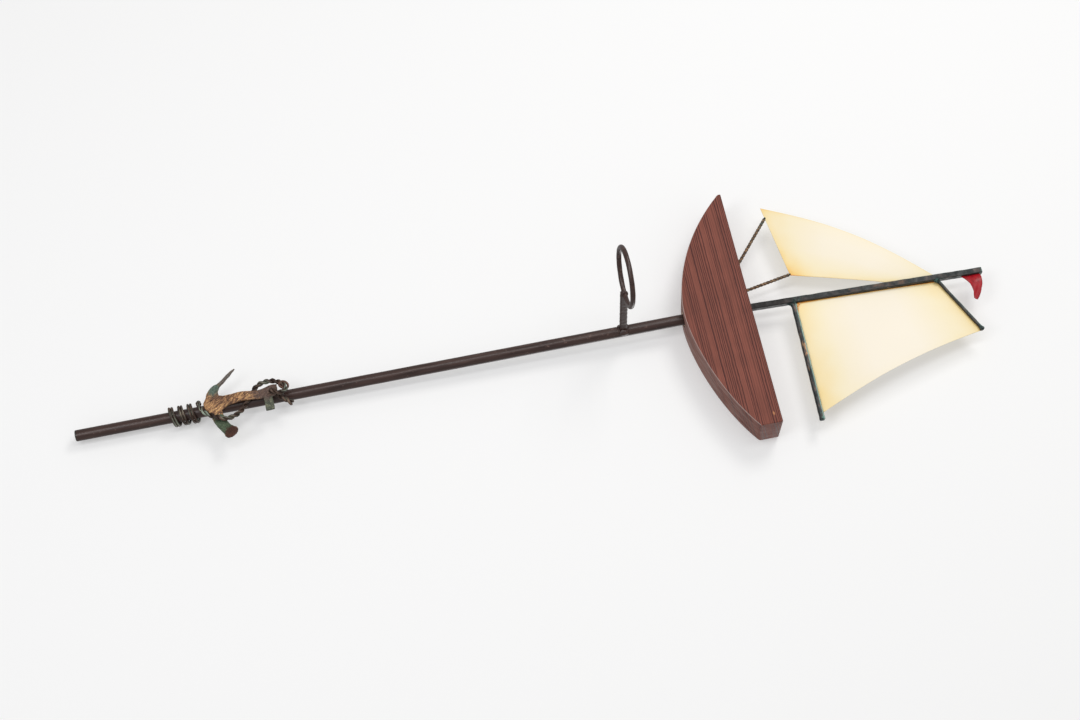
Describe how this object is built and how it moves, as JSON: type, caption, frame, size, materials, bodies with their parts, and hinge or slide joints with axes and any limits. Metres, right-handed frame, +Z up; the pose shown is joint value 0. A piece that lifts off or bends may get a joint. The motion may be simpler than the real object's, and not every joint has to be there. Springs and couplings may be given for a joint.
{
  "type": "weather vane",
  "caption": "Weather vane: a wooden sailing boat with sheet-metal sails that turns on a round pole, with a holder ring partway up and a small anchor lashed near the foot.",
  "frame": {"origin": "middle of the flat foot end of the pole", "axes": "+Z up the pole to the masthead, bow towards -X, stern towards +X, the side with the holder ring and the anchor towards -Y"},
  "size_m": [0.2946, 0.1657, 1.0416],
  "materials": {
    "brown_paint": "dark brown satin paint",
    "forged_steel": "hand-forged steel with heat colours and green patina",
    "patina_wire": "dark steel wire with pale green patina",
    "patina_bar": "dark steel bar with green-black patina and coppery wear",
    "bearing_steel": "bright ground steel",
    "bush_brass": "plain turned brass",
    "stained_wood": "red-brown stained straight-grained softwood",
    "sail_paint": "cream paint on sheet steel, amber towards the edges",
    "red_paint": "gloss red paint on thin sheet"
  },
  "bodies": {
    "post": {"pole": "brown_paint", "ring_arm": "brown_paint", "holder_ring": "brown_paint", "anchor_shank": "forged_steel", "anchor_arm_fore": "forged_steel", "anchor_arm_aft": "forged_steel", "anchor_stock": "forged_steel", "lashing_wire": "patina_wire", "pivot_ball": "bearing_steel"},
    "vane": {"hull": "stained_wood", "hull_bush": "bush_brass", "thrust_disc": "bearing_steel", "mast": "patina_bar", "boom": "patina_bar", "gaff": "patina_bar", "mainsail": "sail_paint", "jib": "sail_paint", "jib_tack_strut": "patina_wire", "jib_clew_strut": "patina_wire", "pennant": "red_paint"}
  },
  "joints": [
    {"name": "vane_spin", "type": "hinge", "parent": "post", "child": "vane", "pos_m": [0, 0, 0.72], "axis": [0, 0, 1], "continuous": true}
  ]
}
